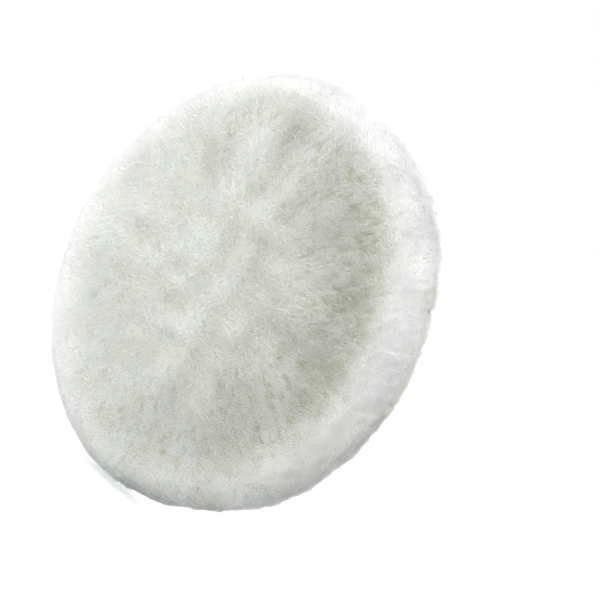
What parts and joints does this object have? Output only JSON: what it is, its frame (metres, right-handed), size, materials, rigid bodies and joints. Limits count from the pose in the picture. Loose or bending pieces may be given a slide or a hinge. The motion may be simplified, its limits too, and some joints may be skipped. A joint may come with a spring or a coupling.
{
  "type": "polishing pad",
  "caption": "Round lambswool polishing pad: sheared wool pile on a sheepskin hide, with a cream interface disc and a black loop face for a hook-and-loop backing plate.",
  "frame": {"origin": "centre of the loop face, which grips the machine's backing plate", "axes": "+Y is the spin axis and the outward normal of the loop face; the sheared wool face looks along -Y; +X and +Z are two radii at right angles, so the pad stands on its edge"},
  "size_m": [0.18, 0.029, 0.18],
  "materials": {
    "wool": "off-white sheared lambswool, dense and matt, with soft curly fibre ends",
    "hide": "tan suede flesh side of the sheepskin, scorched brown along its cut edge",
    "cement": "dried contact cement film",
    "interface": "cream pressed felt, with a lighter cut edge",
    "hot_melt": "cloudy hot-melt film",
    "ground_cloth": "black warp-knitted nylon cloth",
    "loops": "black brushed nylon loops with faint pressed rings"
  },
  "bodies": {
    "root": {"wool_pile": "wool", "sheepskin_hide": "hide", "hide_cement": "cement", "interface_disc": "interface", "loop_hot_melt": "hot_melt", "loop_ground_cloth": "ground_cloth", "loop_pile": "loops"}
  },
  "joints": []
}
